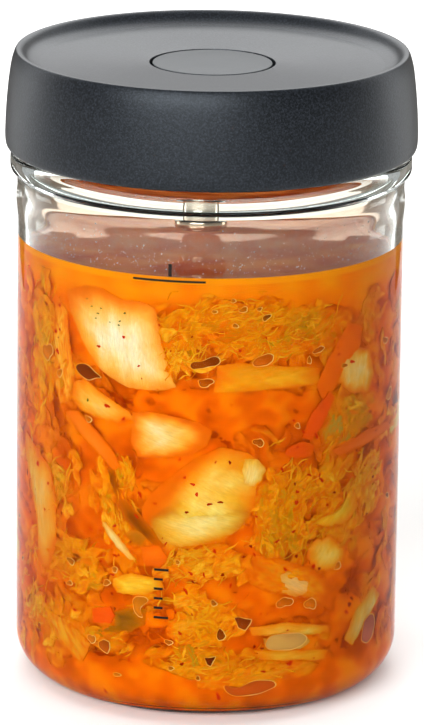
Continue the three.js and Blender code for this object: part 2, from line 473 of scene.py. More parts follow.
def cut_piece(heap, outline, depth, edge_depth, first, second, grain, crumple, seed, fade=(0, 0), steps=64):
    """A leaf, rib or stick with a given outline: flat on the glass in the middle, sinking away at its edge.

    It also sinks by fade[1] mm at the end that lies in the direction fade[0], in degrees."""
    middle, edge = np.mean(outline, axis=0), walk(outline, steps)
    s = np.linspace(0.06, 1, 8 if heap is heaps["carrot"] else 13)[:, None]
    u, v = [middle[i] + (edge[:, i] - middle[i]) * s for i in (0, 1)]
    ragged = 0.14 * s ** 4
    u = u + ragged * ripple(u, v, seed, 0.9)
    v = v + ragged * ripple(u, v, seed + 1, 0.9)
    along, across = turned_to(u, v, -grain)
    folds = ripple(along * 0.45, across, seed + 2, 2.2) + 0.6 * ripple(along * 0.5, across, seed + 3, 0.9)
    towards = turned_to(u - middle[0], v - middle[1], -fade[0])[0]
    w = depth + (edge_depth - depth) * s ** 3 + crumple * (folds + 0.25)
    w = w + fade[1] * np.clip(towards / max(towards.max(), 0.1), 0, 1) ** 1.5
    veiled = soft_stop(w, 0.02 + 0.01 * (seed % 7))
    w = DEEPEST - soft_stop(DEEPEST - veiled, 0.0)
    share = 0.5 * s ** 2 + 0.35 * ripple(along * 0.4, across, seed + 4, 3.0) + 0.2
    heap.disc(u, v, w, mixed(first, second, share), along, across, 0.6, np.minimum(veiled, DEEPEST_VEIL))


def ribbon(heap, u0, v0, length, width, heading, depth, first, second, seed, ruffle=0.5, curl=0.6, rows=13,
           columns=5, thick=0.35):
    """A shred of leaf: a wandering strip with ruffled edges and a faint pale vein; the edges are lightened as
    a painted rim highlight.
    """
    dice = np.random.default_rng(seed)
    t = np.linspace(0, 1, rows)
    bend = heading + curl * np.sin(2 * math.pi * (t * dice.uniform(0.5, 1.6) + dice.random()))
    bend = bend + curl * dice.normal() * t
    du, dv = np.cos(bend) * length / rows, np.sin(bend) * length / rows
    line_u, line_v = np.cumsum(du) - du.sum() / 2, np.cumsum(dv) - dv.sum() / 2
    half = 0.5 * width * np.sin(math.pi * np.clip(t, 0.03, 0.97)) ** 0.7 * (1 + 0.3 * np.sin(9 * t + seed))
    side = np.linspace(-1, 1, columns)
    u = u0 + line_u[:, None] - np.sin(bend)[:, None] * half[:, None] * side
    v = v0 + line_v[:, None] + np.cos(bend)[:, None] * half[:, None] * side
    wave = np.sin(t * length / dice.uniform(1.3, 2.4) * 2 + dice.random() * 6)[:, None]
    w = depth + ruffle * (0.7 * wave * side * np.abs(side) + 0.5 * ripple(u, v, seed + 7, 1.8))
    w = w + 0.25 * side * dice.normal()
    v = np.clip(v, FLOOR + 1.0, LEVEL - 3.2)
    w = w + pushed(u, v)
    tint = mixed(first, second, 0.35 + 0.5 * ripple(u, v, seed + 9, 2.5))
    # Paler towards the edges, a painted rim highlight, and along the middle, the leaf's real vein
    edge_highlight_and_vein = (0.3 * np.abs(side) ** 5 + 0.1 * np.exp(-(side / 0.14) ** 2))[None, :, None]
    tint = tint + (np.array(linear("#ffc024")[:3]) - tint) * edge_highlight_and_vein
    heap.sheet(u, v, soft_stop(w, 0.02 + 0.015 * (seed % 8)), tint,
               t[:, None] * length + 0 * side, side * half[:, None], thick)


# Materials of the contents: each is its own colour at the glass, veiled by the cloudy brine as it sinks away
# and darkened with depth, partly by painted shade


def sunken(name, reach, streak, bump_height, rough, crease=0.0, thin_veil="#ff9000", deepening=0.17):
    """A wet material whose tint reddens and then fades into orange brine over reach mm of depth.

    Between its creases its colour is veiled as if it lay up to crease mm deeper, painted shade, so the
    creases show as fine light lines."""
    made, tree, shader = material(name, Roughness=rough, Specular_IOR_Level=0.0, Subsurface_Weight=0.4,
                                  Subsurface_Radius=(1.0, 0.45, 0.2), Subsurface_Scale=MM)
    depth, fibre, tint = [add(tree, "Attribute", attribute_name=carried).outputs[kind]
                          for carried, kind in (("sunk", "Fac"), ("fibre", "Vector"), ("tint", "Color"))]
    place = add(tree, "TexCoord").outputs["Object"]
    drawn = add(tree, "VectorMath", operation="MULTIPLY", i0=fibre, i1=(0.35, 2.6, 1.0))
    fibres = add(tree, "TexNoise", Vector=drawn, Scale=1.0, Detail=3.0, Roughness=0.6)
    shade = add(tree, "MapRange", i0=fibres, i1=0.25, i2=0.75, i3=1.0 - streak, i4=1.0 + streak)
    own = add(tree, "VectorMath", operation="SCALE", i0=tint, Scale=shade)
    # Painted shade between the creases: a made-up extra depth for the brine's veil
    if crease:
        waved = add(tree, "VectorMath", operation="MULTIPLY", i0=fibre, i1=(0.20, 0.42, 1.0))
        folds = add(tree, "TexNoise", Vector=waved, Scale=1.0, Detail=3.0, Roughness=0.62, Distortion=0.8)
        folds = add(tree, "Math", operation="SUBTRACT", i0=folds, i1=0.5)
        folds = add(tree, "Math", operation="ABSOLUTE", i0=folds)
        folds = add(tree, "MapRange", interpolation_type="SMOOTHSTEP", i0=folds, i2=0.16, i4=crease)
        depth = add(tree, "Math", operation="ADD", i0=depth, i1=folds)
    # What is left, at that depth, of the green, of the blue and of the piece's own colour
    lost = [add(tree, "Math", operation="MULTIPLY", i0=depth, i1=-rate) for rate in (0.30, 1.5, 1.0 / reach)]
    green, blue, clear = [add(tree, "Math", operation="POWER", i0=math.e, i1=each) for each in lost]
    left = add(tree, "CombineXYZ", X=1.0, Y=green, Z=blue)
    own = add(tree, "VectorMath", operation="MULTIPLY", i0=own, i1=left)
    cloud = add(tree, "TexNoise", Vector=place, Scale=160.0, Detail=3.0, Roughness=0.6)
    # The veil runs from orange to dark red-brown with depth: the brine's own colour, and painted shade deep
    # between the pieces
    brine_depth_and_shade = add(tree, "Math", operation="MULTIPLY_ADD", i0=depth, i1=deepening, i2=-0.18)
    ramp = add(tree, "ValToRGB", Fac=add(tree, "Math", operation="MULTIPLY_ADD", i0=cloud, i1=0.36, i2=brine_depth_and_shade))
    ramp.color_ramp.elements[0].color = linear(thin_veil)
    ramp.color_ramp.elements[1].color = linear("#b03800")
    ramp.color_ramp.elements.new(0.35).color = linear("#f06a00")
    veiled = add(tree, "Mix", data_type="RGBA", i0=clear, i6=ramp, i7=own)
    feed(tree, shader.inputs["Base Color"], veiled.outputs[2])
    emboss(tree, shader, fibres, 0.5, bump_height)
    return made


# Salted cabbage leaf: thin, wrinkled and translucent, with fine veins
leaf_flesh = sunken("Cabbage leaf, salted", 0.85, 0.26, 0.15, 0.45, 0.75, "#fc9400", 0.30)
# Midrib of the leaf: thick, pale and smooth, with long fibres
rib_flesh = sunken("Cabbage midrib, salted", 1.3, 0.16, 0.12, 0.4, 0.10, "#ffac10")
# Carrot cut in sticks: even orange-red, clean edges
carrot_flesh = sunken("Carrot, cut raw", 1.6, 0.08, 0.05, 0.4)
# Spring onion: dark green turned brown by the brine
onion_flesh = sunken("Spring onion leaf, fermented", 1.4, 0.2, 0.1, 0.4)
# Dried chilli flakes: hard-edged red and dark red specks
chilli_flesh = sunken("Chilli, dried and flaked", 3.0, 0.1, 0.05, 0.4)
# Gas held against the glass: a pale bright edge round a darker floor, a painted highlight and painted shade
gas = sunken("Gas pocket against the glass", 6.0, 0.03, 0.02, 0.3)
# The brine between the pieces, clouded with chilli paste
brine = sunken("Brine, clouded with chilli", 0.7, 0.06, 0.1, 0.5)
# Gaps between the pieces, where the brine is deep: dark sheets laid in them as painted shade
gap_shade = sunken("Brine, painted shade in deep gaps", 1.7, 0.2, 0.05, 0.5)

# Body of the contents: cloudy brine with soft lumps of what lies deeper in it
core = turned("brine_core", [
    (20, FLOOR + 0.05), (40, FLOOR + 0.05), (43.5, FLOOR + 0.08),
    *[(float(wall_r(np.array(z))) - 0.6, z) for z in np.arange(FLOOR + 0.4, LEVEL - 0.9, 0.9)],
    (WALL_R - 0.6, LEVEL - 0.9), (20, LEVEL - 0.9)])
points = np.empty(len(core.data.vertices) * 3)
core.data.vertices.foreach_get("co", points)
points = points.reshape(-1, 3) / MM
r = np.hypot(points[:, 0], points[:, 1])
u = np.arctan2(points[:, 0], -points[:, 1]) * WALL_R
v = points[:, 2]
calm = np.clip((LEVEL - 3.5 - v) / 8, 0, 1)
lumps = np.clip(1.2 + 1.4 * calm * (0.75 + ripple(u, v, 11, 7) + 0.45 * ripple(u, v, 12, 2.6)), 1.0, 4.2)
shown = lumps * calm + 0.2 * (1 - calm)
lumps = 0.1 + (lumps - 0.1) * np.clip((v - FLOOR - 2) / 10, 0, 1)
outer = r > 30
points[outer, :2] *= ((wall_r(v[outer]) - lumps[outer]) / r[outer])[:, None]
core.data.vertices.foreach_set("co", (points * MM).ravel())
tones = mixed("#ffa20a", "#fa8000", 0.5 + 0.5 * ripple(u, v, 13, 6))
carry(core.data, shown, np.column_stack([u, v, lumps]), tones)
finish_piece(core, "jar", [brine], ["kimchi"], angle=80)

# Pieces on the side of the fill mark, placed as they lie: name, kind, depth in the middle and at the
# edge, two colours, direction of the fibres, crumpling, and the outline
HEROES = [
    ("upper_rib", "rib", -0.1, 1.5, "#fffdf8", "#fcecc0", 97, 0.15, [(-44.1, 120.6), (-37.1, 123.7),
        (-31.6, 123.6), (-25.2, 121.4), (-18.7, 121.1), (-15.3, 120), (-13.8, 115.3), (-13.2, 109.6),
        (-11.2, 103.8), (-8.9, 97.6), (-11.9, 96.5), (-16.7, 96.1), (-22.9, 96.2), (-27.8, 98.1),
        (-32.4, 100.7), (-35.6, 104.5), (-38.9, 108.7), (-42.4, 114.6)]),
    ("upper_stub", "rib", 0.2, 1.7, "#fcd078", "#f8a830", 140, 0.2, [(-41, 94.7), (-36.9, 96.7), (-30, 92.8),
        (-22.5, 89.3), (-20.7, 87.6), (-25.5, 85.4), (-32, 85.8), (-38.3, 87.1), (-42.6, 90.2)]),
    ("cross_rib", "rib", 0.05, 1.4, "#fcb828", "#e89010", 0, 0.4, [(2.4, 104), (8.4, 105), (15.1, 103.9),
        (25.6, 102.5), (32.4, 101.3), (32.5, 96.9), (25.8, 96.5), (16.9, 96.8), (8.5, 96.4), (1.2, 96.3),
        (2.2, 100.3)]),
    ("cross_leaf", "leaf", 0.2, 0.9, "#f8a418", "#d07804", 5, 0.4, [(7.2, 108.2), (13.3, 110.6),
        (25.5, 109.2), (32.6, 107.9), (40.8, 109.9), (40.1, 106.8), (29.4, 105.8), (16.7, 106)]),
    ("pale_leaf", "rib", 0.1, 1.8, "#f4e0a8", "#dcb858", 80, 0.3, [(40.9, 104.1), (46.2, 105), (52.8, 102.8),
        (55.3, 95.1), (52.3, 90.1), (44, 92.1), (39.2, 96), (37.6, 100.4)]),
    ("middle_rib", "rib", 0, 2.4, "#fff4d4", "#fcd060", 160, 0.15, [(-21.3, 89.2), (-16.1, 90.1),
        (-9.9, 89.2), (-2.3, 87.6), (1.3, 85.3), (0, 81.3), (-4.3, 78.3), (-13.1, 76.8), (-19.4, 76.4),
        (-21.8, 80.2)]),
    ("big_leaf", "rib", 0.2, 2, "#fff0a0", "#fcd040", 150, 0.15, [(-2.7, 77.7), (3.8, 80.7), (11.5, 78.7),
        (16.7, 74.3), (15, 68.6), (13.4, 62.9), (10.7, 57.9), (4.2, 53.1), (-3.2, 51.3), (-10.6, 50),
        (-14, 54.1), (-18.1, 57.4), (-18.4, 62), (-15, 67), (-10.5, 71), (-6.3, 75)]),
    ("big_leaf_fold", "rib", 0, 1.6, "#fdeaac", "#f9cf5c", 165, 0.1, [(-15.8, 58.8), (-11.3, 62.8),
        (-3.1, 64.4), (1.8, 62.7), (10.1, 63.7), (12.1, 60.7), (8, 55.7), (-0.2, 52.5), (-7.3, 51.1),
        (-12.3, 51.9), (-15.8, 55.3)]),
    ("big_leaf_corner", "rib", 0.15, 1.1, "#fff0c0", "#fce494", 80, 0.1, [(10.4, 77), (13.8, 76.9),
        (16.4, 73.8), (15, 70.4), (12.2, 68.8), (10, 69.5), (9.4, 73.6)]),
    ("left_rib", "rib", 0.2, 2, "#ecc888", "#e4ac54", 90, 0.25, [(-66.4, 74), (-57.5, 70.9), (-50.9, 67),
        (-48.4, 58.3), (-48.3, 45.1), (-52.1, 36.5), (-57.2, 37.8), (-58.5, 49.2), (-63.7, 62.3),
        (-68.3, 68.4)]),
    ("sliver", "rib", 0.1, 0.8, "#f8e0a8", "#f0c060", 125, 0.1, [(-31.1, 56.5), (-29.1, 55.7), (-24.6, 51.8),
        (-19.7, 46.1), (-20.9, 45.3), (-25.8, 49.3), (-29.7, 53.3)]),
    ("pointed_leaf", "rib", 0.1, 1.6, "#f4cc38", "#e0a414", 30, 0.3, [(45.7, 64.3), (44.1, 60.5), (38, 57.8),
        (32.4, 57.1), (30.4, 55.7), (36.6, 53.4), (44.3, 54), (48.6, 57.9)]),
    ("oval_rib", "rib", 0.1, 1.8, "#f4dc80", "#e8b030", 60, 0.15, [(32.5, 51.2), (37.4, 51.4), (42.5, 46.8),
        (43.4, 42.4), (38.8, 40.5), (32.7, 41.8), (29.6, 45.8), (29.5, 49.4)]),
    ("lower_leaf", "leaf", 0.1, 1, "#f8ac1c", "#e07c06", 160, 0.3, [(13.6, 48.9), (19.4, 47.8), (26.7, 44.8),
        (34.1, 40.9), (40.1, 34.3), (39.5, 28.5), (32.9, 32.3), (25.7, 35.9), (17.8, 37.4), (12.1, 40.5),
        (10.3, 45)]),
    ("peach_patch", "rib", 0, 0.6, "#f2c486", "#efaa54", 150, 0.1, [(20.4, 43.9), (25.5, 42.7), (31.4, 39.1),
        (30.1, 35.7), (25.7, 35.3), (20.8, 37.7)]),
    ("bright_piece", "rib", 0, 1.4, "#fbd848", "#f6b824", 5, 0.2, [(-28.3, 40), (-21.5, 42.3), (-12.8, 41.6),
        (-11.6, 38.8), (-17.9, 36.1), (-25.7, 35.8)]),
    ("low_left_leaf", "leaf", 0.1, 0.7, "#f2c444", "#e6a024", 130, 0.3, [(-51.5, 24.1), (-45, 24.3),
        (-39.3, 22.2), (-34.2, 19), (-37, 13.3), (-42.4, 13.7), (-47.2, 17.1)]),
    ("low_rib_a", "rib", 0.4, 1.7, "#f6d46c", "#eeb040", 0, 0.2, [(12.3, 27.6), (23.9, 28.1), (38, 24.7),
        (37.7, 22.4), (24, 24), (13.1, 25.2)]),
    ("low_rib_b", "rib", 0.1, 0.7, "#e2c48c", "#d4a860", 0, 0.1, [(16.3, 24), (22.8, 24.5), (29.1, 23.5),
        (31.1, 21.4), (27.9, 19.6), (17.5, 20.6)]),
    ("low_rib_c", "rib", 0.4, 1.7, "#f2c64e", "#e8a430", 0, 0.2, [(12.4, 20.8), (24.1, 20.1), (37.5, 17.7),
        (36.1, 15), (24.8, 16.2), (15.8, 17.6)]),
    ("right_strip", "rib", 0.1, 1.3, "#e6d090", "#d0ac58", 65, 0.2, [(56.8, 32), (61.6, 28), (53.8, 22.2),
        (47.2, 16.7), (43.7, 19.2), (47.8, 26.4)]),
    ("wavy_leaf", "leaf", 0.1, 0.7, "#f8ac1c", "#dc7c08", 20, 0.6, [(-5.6, 50.3), (-1.8, 52.2), (5.3, 52.5),
        (9.2, 49.2), (10.9, 44.4), (5.9, 41.7), (-0.6, 42.9), (-6.1, 45.6)]),
    ("drop_leaf", "leaf", 0.1, 0.7, "#fcbc30", "#e68a0c", 20, 0.5, [(-9.9, 37.2), (-5.5, 39.2), (0, 38.8),
        (0.6, 35.3), (-3.3, 32.8), (-8.2, 33.2)]),
    ("olive_leaf", "leaf", 0.1, 0.5, "#a89a28", "#8a7818", 110, 0.3, [(-7.5, 22), (-3.7, 23.1), (0.2, 19.9),
        (-0.3, 14.6), (-4.1, 15.1), (-6.9, 17.9)]),
    ("upper_leaf_b", "leaf", 0.25, 1.2, "#f0a018", "#cc7606", 20, 0.6, [(19.4, 119), (27.2, 119.3),
        (37.2, 118.9), (45, 116.2), (43.5, 111.4), (35.3, 110.6), (25.5, 111.5), (19.5, 113.2)]),
    ("upper_leaf_c", "leaf", 0.3, 1.2, "#e8940c", "#b46804", 10, 0.8, [(-10.2, 119.3), (-3.7, 121.9),
        (4.3, 123.1), (14.2, 121.1), (20.6, 117.1), (18.3, 111.6), (8.3, 110.5), (-0.9, 108.8),
        (-7.9, 110.3), (-11.3, 114.6)]),
    ("side_leaf", "leaf", 0.1, 0.6, "#ffcc50", "#f8a830", 95, 0.3, [(-47.5, 118), (-44, 114.8),
        (-43.1, 106.3), (-40.7, 98.2), (-42.2, 89.2), (-46.4, 87), (-49.1, 93.3), (-49.2, 104.9),
        (-50.2, 111.9)]),
    ("string_leaf", "leaf", 0.1, 0.8, "#e4a41c", "#b8780c", 85, 0.6, [(13.9, 69.3), (18.4, 71.3),
        (23.2, 67.2), (22.8, 58.6), (20.5, 51.5), (17.1, 47.5), (13.6, 50.1), (12.9, 59.5)]),
    ("curl_leaf", "leaf", 0.1, 0.6, "#b4a03c", "#98861e", 60, 0.6, [(35.8, 87.1), (41.8, 87.4), (46.9, 83.9),
        (44.4, 79.2), (39, 77.5), (33.9, 79), (32.5, 82.8)]),
    ("low_wide_leaf", "leaf", 0.1, 0.8, "#f0a020", "#e08410", 10, 0.5, [(-2.5, 14), (1.9, 17.6), (9.6, 18.6),
        (18.2, 16.7), (27.3, 16.7), (34.7, 14.1), (31.3, 11.2), (21.2, 11), (11.4, 10.2), (3.1, 9.3),
        (-1.9, 9.8)]),
    ("low_mid_leaf", "leaf", 0.1, 0.7, "#f6b428", "#e89414", 20, 0.5, [(-10.4, 29.5), (-5.4, 31.6),
        (1.2, 30.6), (2.9, 25.9), (-0.4, 22.3), (-7, 22.6), (-10.9, 25.3)]),
    ("carrot_a", "carrot", 0.3, 1, "#f46c10", "#e85c08", 120, 0.1, [(42.6, 112.7), (48.7, 110.5),
        (48, 104.9), (41.8, 99.6), (36.7, 93), (33.6, 91.8), (31.5, 96.2), (35.4, 103.1), (39.3, 108.2)]),
    ("carrot_b", "carrot", 0.05, 0.3, "#f4540e", "#e44806", 125, 0.1, [(36, 94), (37.9, 91.7), (33.1, 83.8),
        (29.9, 80.6), (27, 81.9), (29.7, 88.1)]),
    ("carrot_c", "carrot", 0.05, 0.3, "#f25a0e", "#e04c06", 10, 0.1, [(22.4, 79.5), (27.3, 80.7),
        (31.2, 78.9), (30, 76.2), (24.9, 76), (21.9, 77.6)]),
    ("carrot_d", "carrot", 0.1, 0.8, "#ff8a1c", "#f87410", 135, 0.1, [(-44.6, 85.4), (-39.1, 86.7),
        (-33.3, 82.4), (-28, 78.1), (-24.2, 72.3), (-27.3, 71.8), (-32.9, 76), (-39.8, 81)]),
    ("carrot_e", "carrot", 0, 0.2, "#ff5e14", "#f04a08", 10, 0.1, [(-33.6, 29.8), (-27.6, 31.6), (-26, 29.2),
        (-27.5, 26.6), (-33.2, 25.8)]),
    ("carrot_f", "carrot", 0.1, 0.5, "#ff7a12", "#f06408", 20, 0.1, [(-18.6, 50.3), (-13.4, 51.5),
        (-10.6, 47.7), (-12.8, 45.1), (-17.4, 45.2)]),
    ("carrot_g", "carrot", 0.3, 1.1, "#ec7030", "#dc6024", 30, 0.1, [(52.7, 79.5), (64, 79), (67.7, 76.2),
        (57.3, 75.8), (39.8, 74.4), (37.5, 76.6)]),
    ("green_a", "green", 0.05, 1.2, "#6c5014", "#885e16", 15, 0.3, [(-26.6, 30), (-22, 32.2), (-16.7, 32.1),
        (-17.2, 27.6), (-21.9, 24.6), (-26.3, 24.8)]),
    ("green_b", "green", 0.2, 0.5, "#6e5212", "#84600e", 0, 0.2, [(-32.8, 24.3), (-24.4, 26.6),
        (-21.9, 25.8), (-25, 24.1), (-32.1, 23)]),
    # Crevices between pieces: dark sheets, painted shade where the brine lies deep
    ("crack_a", "dark", 0.2, 1.8, "#7c3406", "#a04c08", 120, 0.2, [(-31.6, 77.5), (-29.9, 77.5), (-27, 73),
        (-27.3, 71.2), (-29.9, 73.7)]),
    ("crack_b", "dark", 0.2, 1.8, "#743006", "#a04c08", 110, 0.2, [(-29.2, 72.1), (-27, 71.9), (-25.4, 68),
        (-24.1, 64.5), (-26.6, 63.8), (-28.5, 68.1)]),
    ("crack_c", "dark", 0.2, 1.8, "#7c3806", "#a4560a", 130, 0.2, [(-26, 64.5), (-23.5, 64.3), (-19.3, 60.2),
        (-15.2, 56), (-11.2, 51.1), (-13.4, 50.3), (-18, 52.7), (-23.4, 56.7), (-26.6, 60.9)]),
    ("crack_d", "dark", 0.2, 1.8, "#b06c14", "#c07c14", 30, 0.2, [(-24, 53.7), (-19.2, 56.1), (-15.7, 53.6),
        (-18, 50.4), (-22.2, 50.4)]),
]

# Gas pockets: place, half width, half height, turn, and how dark the floor is
POCKETS = [(-0.8, 99.4, 2.1, 1.4, -5, 0.8), (15.7, 117.7, 1.3, 1, 20, 1), (28.7, 104.1, 0.7, 1.4, 0, 0.35),
    (14, 81.8, 1.7, 1.3, 0, 0.75), (-35.1, 85.2, 1.4, 0.9, 0, 0.2), (6.5, 122.8, 0.9, 0.6, 0, 0.4),
    (9.3, 120.2, 1.3, 0.9, 0, 0.4), (13.7, 120.2, 0.8, 0.7, 0, 0.5), (1.4, 119.7, 0.8, 0.7, 0, 0.35),
    (7.1, 115.7, 0.9, 0.8, 0, 0.4), (25.3, 85.6, 1, 0.9, 0, 0.35), (-26.1, 42.8, 1.1, 0.9, 0, 0.3),
    (-28.6, 38.5, 1.3, 1, 0, 0.35), (-41.8, 35.6, 1.2, 0.9, 0, 0.3), (-33.5, 20.9, 1.4, 1.5, -20, 0.2),
    (-10.1, 23.3, 1.2, 0.9, 0, 0.6), (2.2, 35.3, 1, 1, 0, 0.6), (-1.9, 13.1, 0.8, 0.7, 0, 0.7),
    (-9.4, 15.7, 1, 0.7, -30, 0.4), (-25.2, 11.9, 1.3, 0.7, -10, 0.25), (22.3, 34.3, 2.4, 1.7, 0, 0.35),
    (30.5, 32.7, 1.9, 1.9, 0, 0.15), (-41.4, 42.2, 1.6, 1.1, 0, 0.5), (-7.8, 47, 0.8, 0.7, 0, 0.3),
    (39.9, 42.1, 1.5, 1.1, 0, 0.15), (-46.4, 96.3, 1.3, 1.4, -10, 0.2), (-52.1, 101.2, 2.5, 2.6, 10, 0.15),
    (41, 100.6, 1.2, 0.9, 0, 0.5)]

# Pockets of special shape: outline, how dark the floor is, and the colour it darkens from
SHAPED_POCKETS = [
    ([(-40.3, 99.5), (-39.2, 100.6), (-37, 101.3), (-34.8, 100.9), (-33.1, 99.5), (-30.4, 97.9),
      (-32.4, 97.6), (-34.8, 96.3), (-36.9, 96.7), (-39.2, 98)], 0.95, "#a04808"),
    ([(-5.4, 104.1), (-4.6, 105.3), (-2.7, 105.4), (-0.6, 106.3), (1.3, 107.1), (2.9, 106.9), (3.5, 105.4),
      (2.4, 104.3), (0.5, 104), (-1.1, 103.4), (-3.2, 103.3), (-4.6, 103)], 0.85, "#c05a0c"),
    ([(11.7, 104.9), (12.8, 106.3), (14.4, 107), (16.7, 107.5), (18.1, 106.8), (17.9, 105.1), (16.2, 103.8),
      (13.9, 103.6), (12.3, 103.7)], 0.3, "#e66c0c"),
    ([(-31.4, 20.5), (-29.5, 21.8), (-27.5, 21.3), (-27.2, 19.3), (-28.1, 17.3), (-29.7, 17.9),
      (-31.1, 18.8)], 0.35, "#d0600c"),
    ([(-20.8, 34.8), (-19.6, 36.1), (-16.7, 36.2), (-15.6, 35.2), (-18.1, 32.8), (-18.4, 31.3),
      (-17.2, 29.7), (-18.7, 29.8), (-20.2, 31.3)], 0.25, "#e88414"),
    ([(7.7, 31.1), (9.1, 31.3), (11.4, 30.6), (13.1, 30.2), (12.5, 28.7), (11.1, 26.8), (8.9, 27.8),
      (8.3, 29.6)], 0.9, "#b8500c"),
    ([(3.9, 28.2), (5, 27.3), (5.9, 25.5), (5.1, 24.4), (3.7, 24.1), (2.9, 25.3),
      (3.1, 27)], 0.85, "#c05a0c"),
    ([(-0.4, 19.3), (3.2, 19.7), (2.7, 18.5), (1.6, 16.4), (0.5, 17)], 1, "#80300a"),
    ([(4.7, 11.1), (6.4, 11), (7.8, 9.8), (9.7, 10.3), (12.5, 11.9), (14.8, 12.3), (19.7, 11.5), (20.9, 9.9),
      (18.3, 9), (16, 8.1), (12.5, 7.7), (8.3, 7.7), (5.8, 9)], 0.1, "#dc5a14"),
    ([(51.7, 22.9), (54.9, 24.3), (57.2, 23.5), (58, 20.3), (56.3, 16.6), (53.6, 15.4), (50.4, 17),
      (50.8, 19.6)], 0.1, "#cc7058"),
    ([(16.6, 23.1), (18, 25), (22.5, 25.4), (27.8, 24.6), (30.1, 22.7), (28.5, 20.9), (24.7, 19.8),
      (18.7, 20.5), (16.6, 21.6)], 0, "#e4a858"),
    ([(29.3, 106.1), (30.6, 107.3), (32.6, 107.9), (34, 107.1), (32.6, 105.9),
      (30.3, 105.6)], 0.2, "#d8640c"),
]

# Chilli flakes: place, size, turn, and 0 red, 1 dark red or 2 green
FLAKES = [(-29, 90.1, 1.4, -30, 0), (-18.7, 65.8, 1.4, -70, 0), (-19.6, 59.3, 1.1, -40, 0),
    (-3.9, 69.9, 1.1, 0, 0), (-2.8, 67, 1.1, -60, 0), (-6.2, 71.8, 0.9, -10, 0), (-5.5, 61.7, 0.9, -20, 1),
    (0.7, 64.2, 1.1, 0, 1), (3.7, 64.8, 1.1, 0, 1), (-14.4, 63.6, 0.9, 0, 0), (2.3, 50.5, 1.1, -40, 0),
    (25.5, 63.2, 1.4, -70, 0), (24.7, 54.8, 1.1, -10, 0), (19.9, 52.5, 1.1, 20, 0),
    (-5.5, 38.6, 1.4, -60, 0), (-4.2, 43.9, 1.1, -30, 0), (22.4, 44, 1.1, -20, 0), (31.3, 43.5, 1.4, -60, 0),
    (24.2, 16, 1.7, -10, 0), (44.2, 101.1, 1.4, -30, 0), (39, 104.2, 0.9, 0, 0), (31.5, 81.8, 1.4, -60, 0),
    (27.3, 83.6, 1.1, -30, 0), (-46.6, 115.9, 1.1, -60, 0), (-48.3, 108, 1.1, -70, 0),
    (-47.4, 102.4, 1.4, -80, 0), (-46.4, 96.9, 1.4, -80, 0), (-26.1, 46.9, 1.1, -10, 0),
    (3.9, 7.8, 1.7, -50, 0), (-30, 6.5, 1.1, -30, 0), (45, 29.5, 1.4, -80, 1), (43.8, 27.5, 1.4, -70, 0),
    (45.9, 31.1, 1.1, -60, 1), (13.3, 49.2, 0.9, -60, 0), (16.4, 14.5, 1.1, 0, 0), (-7, 26.2, 1.1, -20, 0),
    (35.7, 60.9, 0.9, -10, 0), (25.7, 66.3, 1.1, -60, 0), (21, 73.3, 1.1, -80, 0), (29.4, 70.7, 1.1, -30, 0),
    (33.5, 68.6, 1.4, -40, 0), (-52.6, 27.4, 1.1, -60, 0), (-57.4, 66.8, 1.4, -20, 0),
    (-60.6, 48.5, 1.1, -70, 0), (-36, 119.9, 0.4, 0, 2), (-34.3, 118, 0.4, 0, 2), (-32.2, 116.3, 0.5, 0, 2),
    (-31.2, 117.9, 0.4, 0, 2), (-25.5, 113.9, 0.5, 0, 2), (-23.7, 117.6, 0.6, 0, 2),
    (-25.2, 115.1, 0.5, 0, 2), (-32.9, 114.8, 0.4, 0, 2), (-28.3, 114.4, 0.3, 0, 2),
    (-35.5, 90.6, 0.6, -80, 2)]

# Pieces that sink away towards one end: direction in degrees and depth there in mm
FADES = {"upper_rib": (100, 1.3), "middle_rib": (-10, 1.7), "big_leaf": (150, 2.6),
         "big_leaf_fold": (110, 0.8), "oval_rib": (-90, 0.8), "lower_leaf": (-20, 0.9),
         "upper_leaf_b": (90, 0.8), "upper_leaf_c": (90, 0.7), "low_rib_b": (180, 0.5)}

# Open brine, where nothing comes near the glass, and the leaves that no shred crosses
OPEN_BRINE = [
    [(-21.4, 94.7), (-7.8, 96.5), (2.5, 97.1), (14.6, 96.1), (32.9, 93.7), (31.7, 88.7), (26, 85.8),
     (20, 84.4), (14.8, 86), (7.6, 85.2), (6.5, 79.5), (1.1, 77.8), (-3.2, 74.3), (-10.3, 69.2), (-17, 69.8),
     (-21.2, 72.7), (-22.4, 81.3)],
    [(-32.7, 94.6), (-25.6, 94.1), (-22.5, 92.2), (-22.4, 81.3), (-27.4, 85.1), (-34.1, 90.3)],
    [(-45.8, 11.5), (-34.2, 17.5), (-26.8, 17.2), (-15.4, 15.4), (-4.1, 11.6), (-0.2, 8.7), (-0.2, 5.1),
     (-24.2, 5.2), (-39.6, 7.3)],
    [(35.4, 44.8), (50.1, 40.7), (50.5, 29.2), (46.3, 15.5), (74.7, 4.6), (50.5, 2.3), (27.5, 4.1), (7, 5.1),
     (4.7, 8.1), (16, 7.5), (23, 11.4), (32.6, 13.9), (38.1, 20.5), (37.9, 32.5)],
    [(-18.4, 29.8), (-8.5, 34.3), (-9.2, 21.3), (-24.4, 21.2)],
    [(6, 37.6), (15.5, 38.8), (26.9, 35.7), (37.1, 31.4), (36.5, 27.4), (15.6, 30), (9.4, 32.8)],
]
UNCROSSED = ("big_leaf", "pointed_leaf", "lower_leaf", "low_left_leaf", "pale_leaf")

heaps = {kind: Heap() for kind in ("leaf", "rib", "carrot", "green", "dark")}
for number, (name, kind, depth, edge_depth, first, second, grain, crumple, outline) in enumerate(HEROES):
    cut_piece(heaps[kind], outline, depth, edge_depth, first, second, grain, crumple, 40 + 3 * number,
              FADES.get(name, (0, 0)), 64 if kind == "carrot" else 80)
    if kind != "leaf" or name in UNCROSSED:
        keep_clear(outline, 0.9)
for outline in OPEN_BRINE:
    keep_clear(outline, 2.2)

